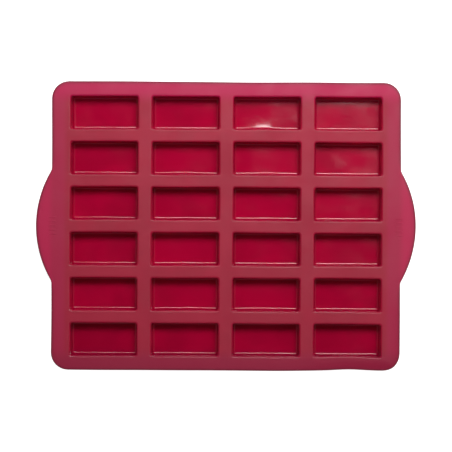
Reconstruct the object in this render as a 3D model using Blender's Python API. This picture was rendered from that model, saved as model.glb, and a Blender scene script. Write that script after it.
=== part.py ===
"""A silicone bar mould: twenty-four rectangular cups hang from one flat deck, with a grip at each end.

Metres, +Z up. The origin is in the middle of the base, on the surface that the cups stand on. X runs from
grip to grip, and Y across the mould. Cups are numbered by row from the back (+Y) and by column from the
left (-X). The real mould is one moulding: deck, cups and grips are its regions, with a hairline gap between
them, so that each cup can be pushed up and each grip can bend.
"""

import math

import bmesh
import bpy
from mathutils import Vector

MM = 0.001

# Driving dimensions
ROWS = 6
COLUMNS = 4
CAVITY_LENGTH = 60 * MM
CAVITY_WIDTH = 30 * MM
CAVITY_DEPTH = 20 * MM
WEB_BETWEEN_COLUMNS = 10.6 * MM
WEB_BETWEEN_ROWS = 9.4 * MM
END_MARGIN = 15.6 * MM
SIDE_MARGIN = 11.8 * MM
DECK_THICKNESS = 2.5 * MM
DECK_CORNER_RADIUS = 15 * MM
CUP_WALL = 1.5 * MM
CUP_FLOOR = 1.5 * MM
CUP_CORNER_RADIUS = 2 * MM
CUP_BOTTOM_RADIUS = 1.5 * MM
DRAFT = math.radians(5.5)
GRIP_CHORD = 97 * MM
GRIP_REACH = 13.2 * MM
GAP = 0.3 * MM
TINY = 0.01 * MM

# Rounding, in flat steps
DECK_CORNER_STEPS = 6
HOLE_CORNER_STEPS = 3
CUP_BEVEL_STEPS = 3
GRIP_ARC_STEPS = 20
KNUCKLE_STEPS = 4
KNUCKLE_SHARE = 0.98
FLAT_ANGLE = math.radians(0.5)

# Worked out from the driving dimensions
HEIGHT = CAVITY_DEPTH + CUP_FLOOR
PITCH_X = CAVITY_LENGTH + WEB_BETWEEN_COLUMNS
PITCH_Y = CAVITY_WIDTH + WEB_BETWEEN_ROWS
DECK_LENGTH = COLUMNS * PITCH_X - WEB_BETWEEN_COLUMNS + 2 * END_MARGIN
DECK_WIDTH = ROWS * PITCH_Y - WEB_BETWEEN_ROWS + 2 * SIDE_MARGIN
DECK_MIDDLE = HEIGHT - DECK_THICKNESS / 2
CUP_LENGTH = CAVITY_LENGTH + 2 * CUP_WALL
CUP_WIDTH = CAVITY_WIDTH + 2 * CUP_WALL
HOLE_LENGTH = CUP_LENGTH + 2 * GAP
HOLE_WIDTH = CUP_WIDTH + 2 * GAP
GRIP_RADIUS = (GRIP_CHORD**2 / 4 + GRIP_REACH**2) / (2 * GRIP_REACH)
KNUCKLE_RADIUS = DECK_THICKNESS / 2
GRIP_HINGE_X = DECK_LENGTH / 2 + GAP + KNUCKLE_RADIUS

DECK_COLOUR = (0.33, 0.018, 0.040, 1)
GRIP_COLOUR = (0.36, 0.015, 0.055, 1)
CUP_COLOUR = (0.30, 0.003, 0.020, 1)


def clear_scene():
    for obj in list(bpy.data.objects):
        bpy.data.objects.remove(obj)


def collection(name):
    made = bpy.data.collections.new(name)
    bpy.context.scene.collection.children.link(made)
    return made


def silicone(name, colour, roughness):
    material = bpy.data.materials.new(name)
    material.use_nodes = True
    shader = material.node_tree.nodes["Principled BSDF"]
    shader.inputs["Base Color"].default_value = colour
    shader.inputs["Roughness"].default_value = roughness
    shader.inputs["Metallic"].default_value = 0
    return material


def arc(centre, radius, start, end, steps):
    """Points along an arc, from the angle start to the angle end."""
    angles = [start + (end - start) * step / steps for step in range(steps + 1)]
    return [centre + radius * Vector((math.cos(a), math.sin(a))) for a in angles]


def rounded_rectangle(middle, length, width, radius, steps):
    """The outline of a rectangle with round corners, counter-clockwise."""
    points = []
    for quarter, (side_x, side_y) in enumerate(((1, 1), (-1, 1), (-1, -1), (1, -1))):
        inset = Vector((side_x * (length / 2 - radius), side_y * (width / 2 - radius)))
        start = quarter * math.pi / 2
        points += arc(middle + inset, radius, start, start + math.pi / 2, steps)
    return points


def plate(name, outlines, thickness):
    """A flat sheet about Z = 0. The first outline is its edge, and the others are holes."""
    curve = bpy.data.curves.new(name, "CURVE")
    curve.dimensions = "2D"
    curve.fill_mode = "BOTH"
    curve.extrude = thickness / 2
    for outline in outlines:
        spline = curve.splines.new("POLY")
        spline.points.add(len(outline) - 1)
        for point, place in zip(spline.points, outline):
            point.co = (*place, 0, 1)
        spline.use_cyclic_u = True
    return bpy.data.objects.new(name, curve)


def mesh_of(obj, name):
    """The shape of an object, modifiers included, as a mesh of its own with its loose caps welded on."""
    graph = bpy.context.evaluated_depsgraph_get()
    mesh = bpy.data.meshes.new_from_object(obj.evaluated_get(graph))
    mesh.name = name
    shape = bmesh.new()
    shape.from_mesh(mesh)
    bmesh.ops.remove_doubles(shape, verts=shape.verts, dist=TINY)
    shape.to_mesh(mesh)
    shape.free()
    return mesh


def is_level(edge):
    """Whether an edge runs level, rather than up the side of its solid."""
    start, end = edge.verts
    return abs(start.co.z - end.co.z) < TINY


def bevel(shape, edges, radius, steps):
    bmesh.ops.bevel(
        shape, geom=edges, offset=radius, segments=steps, profile=0.5, affect="EDGES"
    )


def cup_centre(row, column):
    """The middle of a cup in plan. Row 1 is at the back and column 1 at the left."""
    x = (column - (COLUMNS + 1) / 2) * PITCH_X
    y = ((ROWS + 1) / 2 - row) * PITCH_Y
    return Vector((x, y))


def cup_places():
    return [(row, column) for row in range(1, ROWS + 1) for column in range(1, COLUMNS + 1)]


def deck():
    """The flat sheet that joins all the cups, with a hole for each of them."""
    edge = rounded_rectangle(
        Vector((0, 0)), DECK_LENGTH, DECK_WIDTH, DECK_CORNER_RADIUS, DECK_CORNER_STEPS
    )
    hole_radius = CUP_CORNER_RADIUS + GAP
    holes = [
        rounded_rectangle(
            cup_centre(*place), HOLE_LENGTH, HOLE_WIDTH, hole_radius, HOLE_CORNER_STEPS
        )
        for place in cup_places()
    ]
    made = plate("deck", [edge, *holes], DECK_THICKNESS)
    made.location.z = DECK_MIDDLE
    return made


def drafted_block(name, length, width, bottom, top):
    """A block that narrows downwards by the draft, with round upright and bottom edges.

    length and width are those at the deck's top face, HEIGHT above the base.
    """
    shape = bmesh.new()
    bmesh.ops.create_cube(shape, size=1)
    for vertex in shape.verts:
        level = top if vertex.co.z > 0 else bottom
        inset = (HEIGHT - level) * math.tan(DRAFT)
        vertex.co.x *= length - 2 * inset
        vertex.co.y *= width - 2 * inset
        vertex.co.z = level
    upright = [e for e in shape.edges if not is_level(e)]
    bevel(shape, upright, CUP_CORNER_RADIUS, CUP_BEVEL_STEPS)
    lowest = [e for e in shape.edges if all(v.co.z < bottom + TINY for v in e.verts)]
    bevel(shape, lowest, CUP_BOTTOM_RADIUS, CUP_BEVEL_STEPS)
    mesh = bpy.data.meshes.new(name)
    shape.to_mesh(mesh)
    shape.free()
    return bpy.data.objects.new(name, mesh)


def cup_mesh(helpers):
    """One cup, open at the top, with its own origin in the middle of its foot."""
    outside = drafted_block("cup_outside", CUP_LENGTH, CUP_WIDTH, 0, HEIGHT)
    cavity = drafted_block(
        "cup_cavity", CAVITY_LENGTH, CAVITY_WIDTH, CUP_FLOOR, HEIGHT + CUP_FLOOR
    )
    for helper in (outside, cavity):
        helpers.objects.link(helper)
        helper.hide_render = True
        helper.display_type = "WIRE"
    hollow = outside.modifiers.new("hollow", "BOOLEAN")
    hollow.operation = "DIFFERENCE"
    hollow.object = cavity
    return mesh_of(outside, "cup")


def cups(mesh):
    """The cups, each with its origin in the middle of its foot, on the line that it is pushed up along."""
    made = []
    for row, column in cup_places():
        cup = bpy.data.objects.new(f"cup_r{row}_c{column}", mesh)
        cup.location.xy = cup_centre(row, column)
        made.append(cup)
    return made


def grip_mesh(helpers):
    """The grip at the right end about its own bending axis, which is the Y axis of the mesh.

    It is a slice of a round plate. The edge next to the deck is rounded about the bending axis.
    """
    middle_x = DECK_LENGTH / 2 + GRIP_REACH - GRIP_RADIUS - GRIP_HINGE_X
    half_angle = math.acos((-KNUCKLE_RADIUS - middle_x) / GRIP_RADIUS)
    outline = arc(
        Vector((middle_x, 0)), GRIP_RADIUS, -half_angle, half_angle, GRIP_ARC_STEPS
    )
    slab = plate("grip_slab", [outline], DECK_THICKNESS)
    helpers.objects.link(slab)
    mesh = mesh_of(slab, "grip")
    bpy.data.objects.remove(slab)
    shape = bmesh.new()
    shape.from_mesh(mesh)
    bmesh.ops.dissolve_limit(
        shape, angle_limit=FLAT_ANGLE, verts=shape.verts, edges=shape.edges
    )
    root = [v for v in shape.verts if v.co.x < -KNUCKLE_RADIUS + TINY]
    knuckle = [
        e for e in shape.edges if all(v in root for v in e.verts) and is_level(e)
    ]
    bevel(shape, knuckle, KNUCKLE_SHARE * KNUCKLE_RADIUS, KNUCKLE_STEPS)
    shape.to_mesh(mesh)
    shape.free()
    return mesh


def grip(name, mesh, side):
    """A grip on its bending axis. Side is -1 for the left one and 1 for the right one."""
    made = bpy.data.objects.new(name, mesh)
    made.location = (side * GRIP_HINGE_X, 0, DECK_MIDDLE)
    made.rotation_euler.z = 0 if side > 0 else math.pi
    return made


def main():
    clear_scene()
    parts = collection("bar_mould")
    helpers = collection("cutters")
    deck_silicone = silicone("deck_silicone", DECK_COLOUR, 0.5)
    grip_silicone = silicone("grip_silicone", GRIP_COLOUR, 0.5)
    cup_silicone = silicone("cup_silicone", CUP_COLOUR, 0.2)

    made_deck = deck()
    made_deck.data.materials.append(deck_silicone)
    parts.objects.link(made_deck)

    one_cup = cup_mesh(helpers)
    one_cup.materials.append(cup_silicone)
    for cup in cups(one_cup):
        parts.objects.link(cup)

    one_grip = grip_mesh(helpers)
    one_grip.materials.append(grip_silicone)
    for name, side in (("left_grip", -1), ("right_grip", 1)):
        parts.objects.link(grip(name, one_grip, side))


main()
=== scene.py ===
"""The looks of a red silicone bar mould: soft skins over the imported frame, their materials, and a studio.

Metres, +Z up. The frame gives every place and size: the deck, twenty-four cups that hang from it, and a grip
at each end. Each of those has one closed skin here. Neighbouring skins end on the same seam lines, in the
flat of the deck, so that together they read as one moulding.
"""

import math

import bmesh
import bpy
import numpy as np
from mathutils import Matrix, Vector


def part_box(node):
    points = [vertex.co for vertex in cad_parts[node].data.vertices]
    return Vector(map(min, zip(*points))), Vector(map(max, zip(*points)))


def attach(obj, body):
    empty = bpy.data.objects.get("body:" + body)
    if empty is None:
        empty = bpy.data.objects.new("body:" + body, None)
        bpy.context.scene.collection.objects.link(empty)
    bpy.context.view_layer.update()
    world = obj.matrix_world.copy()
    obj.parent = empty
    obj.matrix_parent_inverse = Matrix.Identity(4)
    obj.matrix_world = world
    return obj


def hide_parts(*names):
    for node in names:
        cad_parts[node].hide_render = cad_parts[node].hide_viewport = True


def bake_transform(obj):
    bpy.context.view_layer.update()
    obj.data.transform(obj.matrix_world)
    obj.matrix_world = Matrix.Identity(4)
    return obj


MM = 0.001

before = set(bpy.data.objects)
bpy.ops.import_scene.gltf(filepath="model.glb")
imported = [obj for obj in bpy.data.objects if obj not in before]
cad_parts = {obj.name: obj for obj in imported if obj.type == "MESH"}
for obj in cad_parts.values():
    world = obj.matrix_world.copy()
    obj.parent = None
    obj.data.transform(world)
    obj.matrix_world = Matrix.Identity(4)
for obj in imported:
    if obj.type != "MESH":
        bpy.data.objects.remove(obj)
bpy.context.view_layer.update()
DECK_LOW, DECK_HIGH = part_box("deck")
CUP_LOW, CUP_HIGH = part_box("cup_r1_c1")
GRIP_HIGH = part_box("right_grip")[1]

# Sizes from the frame, with the wall and the draft of its cups. BLOCK is half the size over all openings
ROWS = 6
COLUMNS = 4
TOP = DECK_HIGH.z
UNDER = DECK_LOW.z
THICKNESS = TOP - UNDER
CUP_WALL = 1.5 * MM
HALF_OPENING = (CUP_HIGH - CUP_LOW).xy / 2 - Vector((CUP_WALL, CUP_WALL))
PITCH = Vector((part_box("cup_r1_c2")[0].x - CUP_LOW.x, CUP_LOW.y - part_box("cup_r2_c1")[0].y))
BLOCK = Vector(((COLUMNS - 1) / 2 * PITCH.x, (ROWS - 1) / 2 * PITCH.y)) + HALF_OPENING
DRAFT = math.tan(math.radians(5.5))

# Shape of the moulding
FLOOR_LEVEL = 1.5 * MM
PLAN_RADIUS = 2.1 * MM
LIP_WIDTH = 0.6 * MM
LIP_DROP = 1.2 * MM
MOUTH_INSET = 0.8 * MM
FLOOR_INSET = Vector((1.8 * MM, 1.0 * MM))
FLOOR_FILLET = 1.95 * MM
FOOT_RADIUS = 1.5 * MM
ROOT_FILLET = 1.4 * MM
SEAM = 3.0 * MM
DECK_CORNER_RADIUS = 15 * MM
EDGE_RADIUS = 1.1 * MM
# Width of the painted shade along the outer edge
PAINTED_EDGE_SHADE_WIDTH = 3.2 * MM
GRIP_CHORD = 97 * MM
GRIP_FILLET = 7 * MM
PAST_GRIP_FILLET = 53 * MM

# Softness of the silicone. Strong bows are given by row and column, and each has a ramp behind it
WEB_WAVE = 0.22 * MM
WEB_WAVELENGTH = 60 * MM
FLANGE_DROOP = 0.35 * MM
FLANGE_WAVELENGTH = 90 * MM
GRIP_DROOP = 0.7 * MM
DRIFT = 0.28 * MM
DRIFT_WAVELENGTHS = (110 * MM, 100 * MM)
FLOOR_WAVE = 0.16 * MM
FLOOR_WAVELENGTH = 34 * MM
FLOOR_BAND = 0.3 * MM
FLOOR_MARGIN = 3 * MM
USUAL_BOW = 0.35 * MM
BOW_DEPTH = 12 * MM
STRONG_BOWS = {(1, 3): 0.7 * MM, (2, 3): 0.3 * MM, (2, 2): 0.4 * MM}
RAMP_WIDTH = 4.3 * MM
RAMP_SLOPE = 0.18
RAMP_HEIGHT = 3 * MM
CORNER_DROOP = 1.9 * MM
CORNER_TUCK = 1.0 * MM
CORNER_FADE_X = (40 * MM, 150 * MM)
CORNER_FADE_Y = (-60 * MM, -125 * MM)
DENT_X = 108 * MM
DENT_SPREAD = 16 * MM
DENT_DEPTH = 1.0 * MM
SEED = 24

# Mesh steps
CORNER_STEPS = 8
LONG_STEPS = 12
SHORT_STEPS = 6
FLANGE_STEPS = 5
EDGE_STEPS = 8
GRIP_ROWS = 96
GRIP_STEPS = 14
FOOT_STEPS = 5
OUTER_WALL_STEPS = 6
LIP_STEPS = 8
INNER_WALL_STEPS = 7
FILLET_STEPS = 6
RIB_STEPS = 12
WELD = 0.002 * MM
TINY = 0.01 * MM
SHARP_ANGLE = math.radians(50)

# Material slots of a cup
OUTSIDE = 0
CAVITY = 1

# Thumb ribs, one block on each grip
RIBS = 5
RIB_LENGTH = 6.4 * MM
RIB_WIDTH = 1.3 * MM
RIB_SPACING = 3.6 * MM
RIB_HEIGHT = 0.35 * MM
RIB_FROM_EDGE = 1.2 * MM
RIB_SINK = 1.3 * MM
RIB_LEVELS = (0, 0.55, 0.85, 1)

# Colours, linear
RED = (0.425, 0.0035, 0.036, 1)
RED_DEEP = (0.38, 0.0028, 0.031, 1)
# Painted light and shade in the base colour: back flange, end flanges and grips lighter as if lit through
# the thin silicone, front flange darker
BACK_FLANGE_PAINTED_GLOW = (0.54, 0.002, 0.077, 1)
FRONT_FLANGE_PAINTED_SHADE = (0.355, 0.003, 0.044, 1)
END_FLANGE_PAINTED_GLOW = (0.44, 0.004, 0.055, 1)
# Painted shade along the outer edge, where the rounded edge turns from the light
EDGE_PAINTED_SHADE = (0.25, 0.006, 0.035, 1)
GRIP_PAINTED_GLOW = (0.53, 0.004, 0.070, 1)
CAVITY_RED = (0.53, 0.0012, 0.045, 1)
CAVITY_RED_DEEP = (0.45, 0.0010, 0.038, 1)

# Noise patterns: scale per metre, detail, distortion
CLOUDS = (26, 3, 0.4)
SATIN_PATCHES = (60, 4, 0.3)
SMUDGES = (48, 2, 0.2)
GRAIN = (2600, 2)
PUCKERS = (120, 2, 0.5)

# Where one look fades to the next: out from the cups' outline, out from the deck's end, and round a lip. The
# first four fade in the painted light and shade of the flanges and grips
END_PAINTED_GLOW_ZONE = (1 * MM, 7 * MM)
SIDE_PAINTED_LIGHT_ZONE = (-9 * MM, 5 * MM)
GRIP_PAINTED_GLOW_ZONE = (-3 * MM, 4 * MM)
PAINTED_LIGHT_FRONT_TO_BACK_MARGIN = 3 * MM
LIP_COLOUR_ZONE = (0.45, 1.0)
LIP_GLOSS_ZONE = (0, 0.32)
DUSTY_ZONE = (20 * MM, 130 * MM)

# Surface of the silicone
SATIN_ROUGHNESS = (0.50, 0.61)
GLOSSY_ROUGHNESS = (0.09, 0.15)
DUST_ROUGHNESS = 0.05
SILICONE_IOR = 1.45
GRAIN_DEPTH = 0.05 * MM
SATIN_GRAIN = 0.16
GLOSSY_GRAIN = 0.06
PUCKER_DEPTH = 0.35 * MM
PUCKER_STRENGTH = 0.35

# Camera: its height over the deck, the width that it sees there, and how far off centre and square it is
VIEW_HEIGHT = 1.9
VIEW_WIDTH = 0.3921
VIEW_SHIFT = 0.31 * MM
VIEW_ROLL = math.radians(0.36)
SENSOR = 36

# Studio. Each sky fade runs between two values of the direction's Z, with the strength at either end
FLOOR_HALF_SIZE = 4.0
FLOOR_CELLS = 8
FLOOR_Z = -0.1 * MM
FLOOR_GREY = (0.7, 0.7, 0.7, 1)
FLOOR_ROUGHNESS = 0.9
FLOOR_GLOW = 0.95
WHITE = (1, 1, 1, 1)
LOW_SKY = (0.15, 0.5, 0.8, 0.28)
HIGH_SKY = (0.75, 0.985, 1.0, 0.04)
SOFTBOX_PLACE = Vector((0.22, 0.72, TOP + 1.77))
SOFTBOX_AIM = Vector((0.08, 0.3, TOP))
SOFTBOX_SIZE = (0.95, 0.6)
SOFTBOX_POWER = 2.4
SOFTBOX_SPREAD = math.radians(45)


def smooth(low, high, value):
    """0 below low, 1 above high, and a smooth curve between."""
    share = np.clip((value - low) / (high - low), 0, 1)
    return share * share * (3 - 2 * share)


def ripple(x, y, wavelength, seed):
    """A gentle wave field between about -1 and 1, made of a few crossing waves."""
    random = np.random.default_rng(seed)
    total = np.zeros_like(x)
    waves = 5
    for _ in range(waves):
        heading = random.uniform(0, 2 * math.pi)
        length = wavelength * random.uniform(0.7, 1.6)
        phase = random.uniform(0, 2 * math.pi)
        along = x * math.cos(heading) + y * math.sin(heading)
        total += np.sin(2 * math.pi * along / length + phase)
    return total / math.sqrt(2 * waves)


def settle(points):
    """How the soft deck lies: webs wave a little, the flange droops, and the plan drifts.

    The front edge has one shallow dent, and the front right corner hangs lower and further in. All of it
    fades out down the cups, so their undersides stay flat on the table.
    """
    x, y, z = points.T
    level = smooth(0, UNDER, z)
    out_x = np.clip((np.abs(x) - BLOCK.x) / (DECK_HIGH.x - BLOCK.x), 0, None)
    out_y = np.clip((np.abs(y) - BLOCK.y) / (DECK_HIGH.y - BLOCK.y), 0, None)
    grip = np.clip((np.abs(x) - DECK_HIGH.x) / (GRIP_HIGH.x - DECK_HIGH.x), 0, None)
    outward = np.minimum(np.maximum(out_x, out_y), 1)
    drop = WEB_WAVE * (0.5 + 0.5 * ripple(x, y, WEB_WAVELENGTH, SEED))
    sag = 0.6 + 0.4 * ripple(x, y, FLANGE_WAVELENGTH, SEED + 1)
    drop += FLANGE_DROOP * outward**2 * sag
    drop += GRIP_DROOP * grip
    front_right = smooth(*CORNER_FADE_X, x) * smooth(*CORNER_FADE_Y, y)
    corner = front_right * outward**2
    drop += CORNER_DROOP * corner
    dent = DENT_DEPTH * np.exp(-(((x - DENT_X) / DENT_SPREAD) ** 2))
    dent = dent * smooth(-2 * PITCH.y, -3 * PITCH.y, y)
    moved = points.copy()
    drift_x, drift_y = (
        DRIFT * ripple(x, y, wavelength, SEED + seed)
        for seed, wavelength in enumerate(DRIFT_WAVELENGTHS, start=2)
    )
    moved[:, 0] += level * drift_x
    moved[:, 1] += level * (drift_y + dent + CORNER_TUCK * corner)
    moved[:, 2] -= level * np.clip(drop, 0, None)
    return moved


def loop(half, radius, z, corner=CORNER_STEPS, steps=(LONG_STEPS, SHORT_STEPS), square=None):
    """A closed loop round the Z axis: straight sides and corners of that radius, counter-clockwise.

    With square, the corners' points lie on the sides of that larger half-size instead of on arcs.
    """
    straight = Vector((half[0] - radius, half[1] - radius))
    points = []
    for quarter, (side_x, side_y) in enumerate(((1, 1), (-1, 1), (-1, -1), (1, -1))):
        for step in range(corner + 1):
            share = step / corner
            angle = (quarter + share) * math.pi / 2
            if square is None:
                x = side_x * straight.x + radius * math.cos(angle)
                y = side_y * straight.y + radius * math.sin(angle)
            else:
                turn = share if quarter % 2 == 0 else 1 - share
                x = side_x * (straight.x + (square[0] - straight.x) * min(1, 2 - 2 * turn))
                y = side_y * (straight.y + (square[1] - straight.y) * min(1, 2 * turn))
            points.append((x, y, z))
        count = steps[quarter % 2]
        start = Vector(points[-1])
        along_x = quarter % 2 == 0
        for step in range(1, count):
            move = 2 * step / count
            if along_x:
                points.append((start.x * (1 - move), start.y, z))
            else:
                points.append((start.x, start.y * (1 - move), z))
    return np.array(points)


def grid_faces(rows, columns, closed=False):
    """Quads between the points of a grid that is stored row by row."""
    faces = []
    for row in range(rows - 1):
        for column in range(columns if closed else columns - 1):
            after = (column + 1) % columns
            faces.append(
                (
                    row * columns + column,
                    row * columns + after,
                    (row + 1) * columns + after,
                    (row + 1) * columns + column,
                )
            )
    return faces


class Skin:
    """A mesh in the making: grids of points that are welded where they meet."""

    def __init__(self):
        self.points = []
        self.faces = []
        self.slots = []

    def add(self, points, faces, slot=OUTSIDE):
        start = len(self.points)
        self.points.extend(points)
        self.faces.extend(tuple(start + i for i in face) for face in faces)
        self.slots.extend([slot] * len(faces))

    def add_grid(self, grid, closed=False, slot=OUTSIDE):
        """grid is a list of rows of points. closed joins each row's last point to its first."""
        rows, columns = len(grid), len(grid[0])
        self.add(np.concatenate(grid), grid_faces(rows, columns, closed), slot)

    def mesh(self, name):
        mesh = bpy.data.meshes.new(name)
        mesh.from_pydata([tuple(p) for p in self.points], [], self.faces)
        mesh.polygons.foreach_set("material_index", self.slots)
        shape = bmesh.new()
        shape.from_mesh(mesh)
        bmesh.ops.remove_doubles(shape, verts=shape.verts, dist=WELD)
        bmesh.ops.recalc_face_normals(shape, faces=shape.faces)
        shape.to_mesh(mesh)
        shape.free()
        return mesh


def points_of(mesh):
    flat = np.zeros(len(mesh.vertices) * 3)
    mesh.vertices.foreach_get("co", flat)
    return flat.reshape(-1, 3)


def placed(mesh, name, points, materials):
    """An object of a copy of that mesh, with its points moved there and smooth shading."""
    own = mesh.copy()
    own.name = name
    own.vertices.foreach_set("co", points.ravel())
    for material in materials:
        own.materials.append(material)
    own.polygons.foreach_set("use_smooth", [True] * len(own.polygons))
    own.set_sharp_from_angle(angle=SHARP_ANGLE)
    own.update()
    made = bpy.data.objects.new(name, own)
    bpy.context.scene.collection.objects.link(made)
    return made


def patch(ring):
    """A grid of points that fills a loop: its four sides, blended across."""
    half = CORNER_STEPS // 2
    long_side = LONG_STEPS + CORNER_STEPS
    short_side = SHORT_STEPS + CORNER_STEPS
    turned = np.roll(ring, -half, axis=0)
    top = turned[: long_side + 1][::-1]
    left = turned[long_side : long_side + short_side + 1][::-1]
    bottom = turned[long_side + short_side : 2 * long_side + short_side + 1]
    right = np.vstack([turned[2 * long_side + short_side :], turned[:1]])
    u = np.linspace(0, 1, long_side + 1)[None, :, None]
    v = np.linspace(0, 1, short_side + 1)[:, None, None]
    across = (1 - v) * bottom[None] + v * top[None]
    along = (1 - u) * left[:, None] + u * right[:, None]
    corners = (1 - u) * (1 - v) * bottom[0] + u * (1 - v) * bottom[-1]
    corners = corners + (1 - u) * v * top[0] + u * v * top[-1]
    return list(across + along - corners)


def arc_steps(start, end, steps):
    return [start + (end - start) * step / steps for step in range(steps + 1)]


def even(offset):
    """The same offset along X and Y."""
    return Vector((offset, offset))


def cup_profile():
    """The cup's section from its foot, up its outside, over the lip and down to its floor.

    Each entry is the offset out from the opening's edge along X and Y, the height, the radius of the
    corners in plan, and the material slot.
    """

    def outer(z):
        return CUP_WALL - (TOP - z) * DRAFT

    def inner(z):
        share = (TOP - LIP_DROP - z) / (TOP - LIP_DROP - FLOOR_LEVEL)
        return -even(MOUTH_INSET).lerp(FLOOR_INSET, share)

    radius = PLAN_RADIUS + CUP_WALL
    profile = []
    for angle in arc_steps(-math.pi / 2, 0, FOOT_STEPS):
        inset = FOOT_RADIUS * (1 - math.cos(angle))
        z = FOOT_RADIUS * (1 + math.sin(angle))
        profile.append((even(outer(z) - inset), z, radius - inset, OUTSIDE))
    root = UNDER - ROOT_FILLET
    for z in np.linspace(FOOT_RADIUS, root, OUTER_WALL_STEPS)[1:-1]:
        profile.append((even(outer(z)), z, radius, OUTSIDE))
    for angle in arc_steps(0, math.pi / 2, FOOT_STEPS):
        flare = ROOT_FILLET * (1 - math.cos(angle))
        z = UNDER - ROOT_FILLET * (1 - math.sin(angle))
        profile.append((even(outer(root) + flare), z, radius + flare, OUTSIDE))
    beside_lip = (SEAM + LIP_WIDTH) / 2
    for out, z in ((SEAM, UNDER), (SEAM, TOP), (beside_lip, TOP)):
        profile.append((even(out), z, PLAN_RADIUS + out, OUTSIDE))
    for angle in arc_steps(0, math.pi / 2, LIP_STEPS):
        out = -MOUTH_INSET + (LIP_WIDTH + MOUTH_INSET) * (1 - math.sin(angle))
        z = TOP - LIP_DROP * (1 - math.cos(angle))
        profile.append((even(out), z, PLAN_RADIUS + max(out, 0), CAVITY))
    fillet_top = FLOOR_LEVEL + FLOOR_FILLET
    for z in np.linspace(TOP - LIP_DROP, fillet_top, INNER_WALL_STEPS)[1:-1]:
        profile.append((inner(z), z, PLAN_RADIUS, CAVITY))
    for angle in arc_steps(0, math.pi / 2, FILLET_STEPS):
        inset = FLOOR_FILLET * (1 - math.cos(angle))
        z = fillet_top - FLOOR_FILLET * math.sin(angle)
        profile.append((inner(fillet_top) - even(inset), z, PLAN_RADIUS - inset, CAVITY))
    return profile


def cup_mesh():
    """One cup about its own middle, as a closed skin."""
    skin = Skin()
    profile = cup_profile()
    rings = [loop(HALF_OPENING + offset, radius, z) for offset, z, radius, _ in profile]
    lip = [slot for *_, slot in profile].index(CAVITY)
    skin.add_grid(rings[: lip + 1], closed=True, slot=OUTSIDE)
    skin.add_grid(rings[lip:], closed=True, slot=CAVITY)
    skin.add_grid(patch(rings[0]), slot=OUTSIDE)
    skin.add_grid(patch(rings[-1]), slot=CAVITY)
    return skin.mesh("cup")


def mark_lip(mesh):
    """Store how far round its lip each point of a cup is, from 0 on the deck's level to 1 inside."""
    depth = np.clip((TOP - points_of(mesh)[:, 2]) / LIP_DROP, 0, 1)
    round_the_lip = np.arccos(1 - depth) / (math.pi / 2)
    lip = mesh.attributes.new("lip", "FLOAT", "POINT")
    lip.data.foreach_set("value", round_the_lip)


def bowed(points, place, seed):
    """A cup's own unevenness: its front and back walls lean in, and its floor waves a little.

    Behind a strongly bowed front wall the floor also ramps up.
    """
    x, y, z = points.T
    moved = points.copy()
    random = np.random.default_rng(seed)
    front = STRONG_BOWS.get(place, USUAL_BOW * random.uniform(-0.4, 1.0))
    back = USUAL_BOW * random.uniform(-0.5, 0.8)
    centre = HALF_OPENING.x * random.uniform(-0.25, 0.25)
    spread = HALF_OPENING.x * 0.9
    along = np.cos(np.clip((x - centre) / spread, -1, 1) * math.pi / 2) ** 2
    along = along * np.cos(np.clip(x / HALF_OPENING.x, -1, 1) * math.pi / 2)
    depth = 1 - smooth(TOP - BOW_DEPTH, TOP, z)
    near = smooth(HALF_OPENING.y * 0.35, HALF_OPENING.y * 0.85, np.abs(y))
    moved[:, 1] += along * depth * near * np.where(y < 0, front, -back)
    edge_x = 1 - np.abs(x) / (HALF_OPENING.x - FLOOR_MARGIN)
    edge_y = 1 - np.abs(y) / (HALF_OPENING.y - FLOOR_MARGIN)
    middle = smooth(0, 0.3, np.minimum(edge_x, edge_y))
    on_floor = (np.abs(z - FLOOR_LEVEL) < FLOOR_BAND) * middle
    moved[:, 2] += on_floor * FLOOR_WAVE * ripple(x, y, FLOOR_WAVELENGTH, seed)
    if place in STRONG_BOWS:
        front_edge = -(HALF_OPENING.y - FLOOR_INSET.y)
        low_down = smooth(FLOOR_LEVEL + RAMP_HEIGHT, FLOOR_LEVEL, z)
        up = np.clip(front_edge + RAMP_WIDTH - y, 0, None) * low_down
        inside = (z > FLOOR_LEVEL - FLOOR_BAND) * (np.abs(x) < HALF_OPENING.x)
        share = along**2 * front / max(STRONG_BOWS.values())
        moved[:, 2] += RAMP_SLOPE * up * inside * share
    return moved


def add_cups(materials):
    base = cup_mesh()
    mark_lip(base)
    shape = points_of(base)
    for row in range(1, ROWS + 1):
        for column in range(1, COLUMNS + 1):
            node = f"cup_r{row}_c{column}"
            low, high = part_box(node)
            centre = np.array(((low.x + high.x) / 2, (low.y + high.y) / 2, 0))
            own = bowed(shape, (row, column), SEED + 10 * row + column) + centre
            cup = placed(base, f"{node}_skin", settle(own), materials)
            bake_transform(cup)
            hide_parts(node)


def cell_loops():
    """A hole's loop and its cell's loop, with the same number of points."""
    hole = loop(HALF_OPENING + even(SEAM), PLAN_RADIUS + SEAM, 0)
    cell = loop(HALF_OPENING + even(SEAM), PLAN_RADIUS + SEAM, 0, square=PITCH / 2)
    return hole, cell


def side_stations(half_pitch, straight, steps, cells):
    """Where the cells' points lie along one side of the block of cells, from end to end."""
    half = CORNER_STEPS // 2
    rim = [straight + (half_pitch - straight) * k / half for k in range(half + 1)]
    middle = [straight * (2 * step / steps - 1) for step in range(1, steps)]
    one = [-v for v in reversed(rim)] + middle + rim
    stations = []
    for cell in range(cells):
        centre = (cell - (cells - 1) / 2) * 2 * half_pitch
        stations += [centre + v for v in (one if cell == 0 else one[1:])]
    return np.array(stations)


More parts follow.
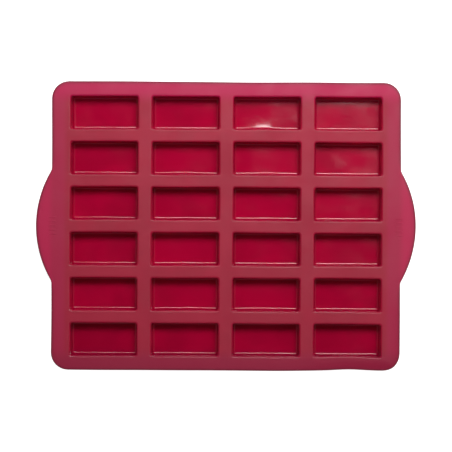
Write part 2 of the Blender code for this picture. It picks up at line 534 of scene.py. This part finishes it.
def outline_side(stations, half_side, half_across):
    """(edge point, outward normal) for each station of one long side and its half corners.

    The first and last steps lie on the round corners. Further in, the points ease back to their stations.
    """
    half = CORNER_STEPS // 2
    radius = DECK_CORNER_RADIUS
    last = len(stations) - 1
    start = half_side - radius
    found = []
    for index, station in enumerate(stations):
        steps_in = min(index, last - index)
        sign = -1 if index < last / 2 else 1
        if steps_in <= half:
            angle = math.pi / 4 * (1 - steps_in / half)
            normal = (sign * math.sin(angle), math.cos(angle))
            along = sign * start + radius * normal[0]
            across = half_across - radius + radius * normal[1]
        else:
            shift = start - abs(stations[half])
            ease = max(0, 1 - (steps_in - half) / LONG_STEPS)
            along = station + sign * shift * ease
            across = half_across
            normal = (0, 1)
        found.append(((along, across), normal))
    return found


def flange_section(inner, edge, normal, steps=FLANGE_STEPS):
    """The section of the flange from a point of the block of cells to the edge, top then bottom."""
    inner, edge, normal = np.array(inner), np.array(edge), np.array(normal)
    half = THICKNESS / 2
    middle = UNDER + half
    straight = half - EDGE_RADIUS
    flat_end = edge - normal * EDGE_RADIUS
    top = []
    for share in arc_steps(0, 1, steps):
        top.append((*(inner + (flat_end - inner) * share), TOP))
    for angle in arc_steps(math.pi / 2, 0, EDGE_STEPS // 2)[1:]:
        place = flat_end + normal * EDGE_RADIUS * math.cos(angle)
        top.append((*place, middle + straight + EDGE_RADIUS * math.sin(angle)))
    bottom = [(x, y, 2 * middle - z) for x, y, z in top]
    return np.array(top), np.array(bottom)


def grip_circle():
    """The middle, along X, and the radius of the right grip's arc."""
    reach = GRIP_HIGH.x - DECK_HIGH.x
    radius = (GRIP_CHORD**2 / 4 + reach**2) / (2 * reach)
    return GRIP_HIGH.x - radius, radius


def grip_edge(y):
    """(edge point, outward normal) of the right grip's outline at that y: arc, fillet, then the side."""
    side = DECK_HIGH.x
    middle, radius = grip_circle()
    fillet_y = math.sqrt((radius + GRIP_FILLET) ** 2 - (side + GRIP_FILLET - middle) ** 2)
    fillet_x = side + GRIP_FILLET
    touch_y = fillet_y * radius / (radius + GRIP_FILLET)
    size = abs(y)
    sign = 1 if y >= 0 else -1
    if size >= fillet_y:
        return (side, y), (1, 0)
    if size >= touch_y:
        rise = size - fillet_y
        x = fillet_x - math.sqrt(GRIP_FILLET**2 - rise**2)
        return (x, y), ((fillet_x - x) / GRIP_FILLET, sign * -rise / GRIP_FILLET)
    x = middle + math.sqrt(radius**2 - size**2)
    return (x, y), ((x - middle) / radius, y / radius)


def mark_painted_edge_shade(mesh):
    """Store how near each point is to the outline, from 1 at the edge to 0 a rim's width inside it: the mask
    of the painted shade along the outer edge.
    """
    x, y, _ = np.abs(points_of(mesh)).T
    corner_x = x - (DECK_HIGH.x - DECK_CORNER_RADIUS)
    corner_y = y - (DECK_HIGH.y - DECK_CORNER_RADIUS)
    outside = np.hypot(np.clip(corner_x, 0, None), np.clip(corner_y, 0, None))
    from_sides = DECK_CORNER_RADIUS - outside - np.clip(np.maximum(corner_x, corner_y), None, 0)
    middle, radius = grip_circle()
    from_arc = radius - np.hypot(x - middle, y)
    blend = np.clip(1 - np.abs(from_sides - from_arc) / GRIP_FILLET, 0, None)
    inside = np.maximum(from_sides, from_arc) + GRIP_FILLET * blend**2 / 4
    rim = mesh.attributes.new("rim", "FLOAT", "POINT")
    rim.data.foreach_set("value", 1 - smooth(0, PAINTED_EDGE_SHADE_WIDTH, inside))


def grip_reach_y(stations):
    """The station where the grip's skin ends, just past its fillets."""
    return min(s for s in stations if s > PAST_GRIP_FILLET)


def deck_mesh(end_y, stations_x, stations_y):
    """The deck: the cells with their holes, the flange round them, and gaps where the grips' skins lie."""
    skin = Skin()
    hole, cell = cell_loops()
    for row in range(ROWS):
        for column in range(COLUMNS):
            centre = np.array(
                ((column - (COLUMNS - 1) / 2) * PITCH.x, (row - (ROWS - 1) / 2) * PITCH.y, 0)
            )
            rings = [hole + centre, (hole + cell) / 2 + centre, cell + centre]
            for z in (TOP, UNDER):
                skin.add_grid([ring + (0, 0, z) for ring in rings], closed=True)
            skin.add_grid([rings[0] + (0, 0, TOP), rings[0] + (0, 0, UNDER)], closed=True)
    block = Vector((COLUMNS * PITCH.x / 2, ROWS * PITCH.y / 2))
    for side in (1, -1):
        edges = outline_side(stations_x, DECK_HIGH.x, DECK_HIGH.y)
        sections = [
            flange_section((s, side * block.y), (e[0], side * e[1]), (n[0], side * n[1]))
            for s, (e, n) in zip(stations_x, edges)
        ]
        add_flange(skin, sections)
        edges = outline_side(stations_y, DECK_HIGH.y, DECK_HIGH.x)
        sections = [
            flange_section((side * block.x, s), (side * e[1], e[0]), (side * n[1], n[0]))
            for s, (e, n) in zip(stations_y, edges)
        ]
        low = [c for s, c in zip(stations_y, sections) if s <= -end_y + TINY]
        high = [c for s, c in zip(stations_y, sections) if s >= end_y - TINY]
        add_flange(skin, low)
        add_flange(skin, high)
        add_end_wall(skin, low[-1])
        add_end_wall(skin, high[0])
        between = [s for s in stations_y if abs(s) <= end_y + TINY]
        wall = [np.array([(side * block.x, s, z) for s in between]) for z in (TOP, UNDER)]
        skin.add_grid(wall)
    return skin.mesh("deck")


def add_flange(skin, sections):
    skin.add_grid([top for top, _ in sections])
    skin.add_grid([bottom for _, bottom in sections])
    skin.add_grid([np.array([top[-1], bottom[-1]]) for top, bottom in sections])


def add_end_wall(skin, section):
    top, bottom = section
    skin.add_grid([top, bottom])


def add_rib(skin, centre):
    """A low bar with round ends, sunk a little into the grip."""
    rings = []
    for share in RIB_LEVELS:
        shrink = RIB_HEIGHT * (1 - math.sqrt(1 - share**2))
        half = (RIB_LENGTH / 2 - shrink, RIB_WIDTH / 2 - shrink)
        level = TOP + share * RIB_HEIGHT
        rings.append(loop(half, half[1], level, RIB_STEPS, (SHORT_STEPS, 1)) + centre)
    rings.insert(0, rings[0] - (0, 0, RIB_SINK))
    skin.add_grid(rings, closed=True)
    count = len(rings[0])
    skin.add(rings[0], [tuple(range(count))])
    skin.add(rings[-1], [tuple(range(count))])


def grip_mesh(end_y, side):
    """A grip with the flange behind it, from the block of cells to its curved edge."""
    skin = Skin()
    block_x = COLUMNS * PITCH.x / 2
    sections = []
    for y in np.linspace(-end_y, end_y, GRIP_ROWS + 1):
        edge, normal = grip_edge(y)
        sections.append(
            flange_section(
                (side * block_x, y),
                (side * edge[0], edge[1]),
                (side * normal[0], normal[1]),
                GRIP_STEPS,
            )
        )
    add_flange(skin, sections)
    add_end_wall(skin, sections[0])
    add_end_wall(skin, sections[-1])
    skin.add_grid([np.array([top[0], bottom[0]]) for top, bottom in sections])
    for rib in range(RIBS):
        y = (rib - (RIBS - 1) / 2) * RIB_SPACING
        add_rib(skin, np.array((side * (DECK_HIGH.x - RIB_FROM_EDGE), y, 0)))
    return skin.mesh("grip")


def add_deck_and_grips(material):
    straight = HALF_OPENING - even(PLAN_RADIUS)
    stations_x = side_stations(PITCH.x / 2, straight.x, LONG_STEPS, COLUMNS)
    stations_y = side_stations(PITCH.y / 2, straight.y, SHORT_STEPS, ROWS)
    end_y = grip_reach_y(stations_y)
    mesh = deck_mesh(end_y, stations_x, stations_y)
    mark_painted_edge_shade(mesh)
    deck = placed(mesh, "deck_skin", settle(points_of(mesh)), [material])
    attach(deck, "tray")
    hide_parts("deck")
    for node, side in (("left_grip", -1), ("right_grip", 1)):
        mesh = grip_mesh(end_y, side)
        mark_painted_edge_shade(mesh)
        grip = placed(mesh, f"{node}_skin", settle(points_of(mesh)), [material])
        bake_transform(grip)
        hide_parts(node)


class Nodes:
    """A material's node tree, with short ways to add and link nodes."""

    def __init__(self, name):
        self.material = bpy.data.materials.new(name)
        self.material.use_nodes = True
        self.tree = self.material.node_tree
        self.shader = self.tree.nodes["Principled BSDF"]

    def new(self, kind, **settings):
        node = self.tree.nodes.new(kind)
        for key, value in settings.items():
            setattr(node, key, value)
        return node

    def link(self, source, target):
        self.tree.links.new(source, target)

    def noise(self, place, scale, detail=2.0, distortion=0.0):
        node = self.new("ShaderNodeTexNoise")
        node.inputs["Scale"].default_value = scale
        node.inputs["Detail"].default_value = detail
        node.inputs["Distortion"].default_value = distortion
        self.link(place, node.inputs["Vector"])
        return node.outputs["Fac"]

    def ranged(self, value, low, high, to_low=0.0, to_high=1.0):
        node = self.new("ShaderNodeMapRange", interpolation_type="SMOOTHSTEP")
        for key, number in (
            ("From Min", low),
            ("From Max", high),
            ("To Min", to_low),
            ("To Max", to_high),
        ):
            node.inputs[key].default_value = number
        self.link(value, node.inputs["Value"])
        return node.outputs["Result"]

    def math(self, operation, first, second=0.0):
        node = self.new("ShaderNodeMath", operation=operation)
        for socket, value in zip(node.inputs, (first, second)):
            if isinstance(value, (int, float)):
                socket.default_value = value
            else:
                self.link(value, socket)
        return node.outputs[0]

    def mix(self, factor, first, second):
        node = self.new("ShaderNodeMix", data_type="RGBA")
        self.link(factor, node.inputs["Factor"])
        for socket, value in ((node.inputs["A"], first), (node.inputs["B"], second)):
            if isinstance(value, tuple):
                socket.default_value = value
            else:
                self.link(value, socket)
        return node.outputs["Result"]

    def bump(self, height, strength, depth):
        node = self.new("ShaderNodeBump")
        node.inputs["Strength"].default_value = strength
        node.inputs["Distance"].default_value = depth
        self.link(height, node.inputs["Height"])
        return node


def silicone_colour_and_painted_light(nodes, place, split, lip):
    """The red of each zone, with painted light and shade. The back flange, end flanges and grips are painted
    lighter, as if light came through the thin silicone from the lit table below, and the front flange
    darker, as if the table below it lay in shade.

    lip is only given for a cavity, which is more vivid below its lip.
    """
    x = nodes.math("ABSOLUTE", split.outputs["X"])
    y = nodes.math("ABSOLUTE", split.outputs["Y"])
    clouds = nodes.ranged(nodes.noise(place, *CLOUDS), 0.35, 0.7)
    colour = nodes.mix(clouds, RED, RED_DEEP)
    if lip is not None:
        vivid = nodes.mix(clouds, CAVITY_RED, CAVITY_RED_DEEP)
        colour = nodes.mix(nodes.ranged(lip, *LIP_COLOUR_ZONE), colour, vivid)
    # Painted light and shade: lighter end flanges, grips and back flange, darker front flange, in place of
    # light through the thin silicone
    end = nodes.ranged(x, *(BLOCK.x + out for out in END_PAINTED_GLOW_ZONE))
    side = nodes.ranged(y, *(BLOCK.y + out for out in SIDE_PAINTED_LIGHT_ZONE))
    grip = nodes.ranged(x, *(DECK_HIGH.x + out for out in GRIP_PAINTED_GLOW_ZONE))
    reach = BLOCK.y + PAINTED_LIGHT_FRONT_TO_BACK_MARGIN
    back = nodes.ranged(split.outputs["Y"], -reach, reach)
    colour = nodes.mix(end, colour, END_FLANGE_PAINTED_GLOW)
    colour = nodes.mix(grip, colour, GRIP_PAINTED_GLOW)
    colour = nodes.mix(side, colour, nodes.mix(back, FRONT_FLANGE_PAINTED_SHADE, BACK_FLANGE_PAINTED_GLOW))
    # Painted shade: darker along the outer edge, where its rounded side turns from the light
    rim = nodes.new("ShaderNodeAttribute", attribute_name="rim").outputs["Fac"]
    return nodes.mix(rim, colour, EDGE_PAINTED_SHADE)


def silicone_roughness(nodes, place, split, lip):
    """Satin in soft patches. A cavity turns glossy at its lip, and dustier towards the back right."""
    satin = nodes.ranged(nodes.noise(place, *SATIN_PATCHES), 0.3, 0.75, *SATIN_ROUGHNESS)
    if lip is None:
        return satin
    smudges = nodes.ranged(nodes.noise(place, *SMUDGES), 0.4, 0.7, *GLOSSY_ROUGHNESS)
    across = nodes.math("MULTIPLY", split.outputs["Y"], 0.5)
    dusty = nodes.math("ADD", split.outputs["X"], across)
    dust = nodes.ranged(dusty, *DUSTY_ZONE, 0, DUST_ROUGHNESS)
    glossy = nodes.math("ADD", smudges, dust)
    difference = nodes.math("SUBTRACT", glossy, satin)
    share = nodes.ranged(lip, *LIP_GLOSS_ZONE)
    return nodes.math("ADD", satin, nodes.math("MULTIPLY", difference, share))


def silicone(name, cavity):
    """Red silicone, for the deck, grips and outsides, or for the cavities."""
    nodes = Nodes(name)
    place = nodes.new("ShaderNodeTexCoord").outputs["Object"]
    split = nodes.new("ShaderNodeSeparateXYZ")
    nodes.link(place, split.inputs[0])
    lip = None
    if cavity:
        lip = nodes.new("ShaderNodeAttribute", attribute_name="lip").outputs["Fac"]
    inputs = nodes.shader.inputs
    nodes.link(silicone_colour_and_painted_light(nodes, place, split, lip), inputs["Base Color"])
    nodes.link(silicone_roughness(nodes, place, split, lip), inputs["Roughness"])
    inputs["IOR"].default_value = SILICONE_IOR

    strength = GLOSSY_GRAIN if cavity else SATIN_GRAIN
    grain = nodes.bump(nodes.noise(place, *GRAIN), strength, GRAIN_DEPTH)
    puckers = nodes.bump(nodes.noise(place, *PUCKERS), PUCKER_STRENGTH, PUCKER_DEPTH)
    nodes.link(grain.outputs["Normal"], puckers.inputs["Normal"])
    nodes.link(puckers.outputs["Normal"], inputs["Normal"])
    return nodes.material


def add_floor():
    """A pale floor that glows a little, like a lit table, so that only close shadows show on it."""
    skin = Skin()
    line = np.linspace(-FLOOR_HALF_SIZE, FLOOR_HALF_SIZE, FLOOR_CELLS + 1)
    skin.add_grid([np.array([(x, y, FLOOR_Z) for x in line]) for y in line])
    nodes = Nodes("floor_white")
    inputs = nodes.shader.inputs
    inputs["Base Color"].default_value = FLOOR_GREY
    inputs["Roughness"].default_value = FLOOR_ROUGHNESS
    inputs["Emission Color"].default_value = WHITE
    seen = nodes.new("ShaderNodeLightPath").outputs["Is Camera Ray"]
    nodes.link(nodes.math("MULTIPLY", seen, FLOOR_GLOW), inputs["Emission Strength"])
    mesh = skin.mesh("floor")
    floor = placed(mesh, "floor", points_of(mesh), [nodes.material])


def add_softbox():
    """A softbox high up behind the mould. It makes the webs' haze and the highlights on the front walls."""
    data = bpy.data.lights.new("back_softbox", "AREA")
    data.shape = "RECTANGLE"
    data.size, data.size_y = SOFTBOX_SIZE
    data.energy = SOFTBOX_POWER
    data.spread = SOFTBOX_SPREAD
    light = bpy.data.objects.new("back_softbox", data)
    light.location = SOFTBOX_PLACE
    aim = SOFTBOX_AIM - SOFTBOX_PLACE
    light.rotation_euler = aim.to_track_quat("-Z", "Y").to_euler()
    light.visible_camera = False
    bpy.context.scene.collection.objects.link(light)


def add_world():
    """White to the camera. For the mould's lighting it is brightest low down and nearly dark overhead."""
    world = bpy.data.worlds.new("studio")
    bpy.context.scene.world = world
    world.use_nodes = True
    tree = world.node_tree
    background = tree.nodes["Background"]
    place = tree.nodes.new("ShaderNodeTexCoord")
    split = tree.nodes.new("ShaderNodeSeparateXYZ")
    tree.links.new(place.outputs["Generated"], split.inputs[0])

    def fade(sky):
        node = tree.nodes.new("ShaderNodeMapRange")
        node.interpolation_type = "SMOOTHSTEP"
        for key, value in zip(("From Min", "From Max", "To Min", "To Max"), sky):
            node.inputs[key].default_value = value
        tree.links.new(split.outputs["Z"], node.inputs["Value"])
        return node.outputs["Result"]

    glow = tree.nodes.new("ShaderNodeMath")
    glow.operation = "MULTIPLY"
    tree.links.new(fade(LOW_SKY), glow.inputs[0])
    tree.links.new(fade(HIGH_SKY), glow.inputs[1])
    seen = tree.nodes.new("ShaderNodeLightPath")
    pick = tree.nodes.new("ShaderNodeMix")
    pick.inputs["B"].default_value = 1.0
    tree.links.new(seen.outputs["Is Camera Ray"], pick.inputs["Factor"])
    tree.links.new(glow.outputs[0], pick.inputs["A"])
    tree.links.new(pick.outputs["Result"], background.inputs["Strength"])
    background.inputs["Color"].default_value = WHITE


def add_camera():
    data = bpy.data.cameras.new("camera")
    data.sensor_width = SENSOR
    data.lens = SENSOR * VIEW_HEIGHT / VIEW_WIDTH
    camera = bpy.data.objects.new("camera", data)
    camera.location = (0, VIEW_SHIFT, TOP + VIEW_HEIGHT)
    camera.rotation_euler = (0, 0, VIEW_ROLL)
    bpy.context.scene.collection.objects.link(camera)
    bpy.context.scene.camera = camera


def main():
    add_camera()
    satin = silicone("silicone_satin", cavity=False)
    cavity = silicone("silicone_cavity", cavity=True)
    add_deck_and_grips(satin)
    add_cups([satin, cavity])
    add_floor()
    add_world()
    add_softbox()
    bpy.context.scene.view_settings.view_transform = "Standard"


main()
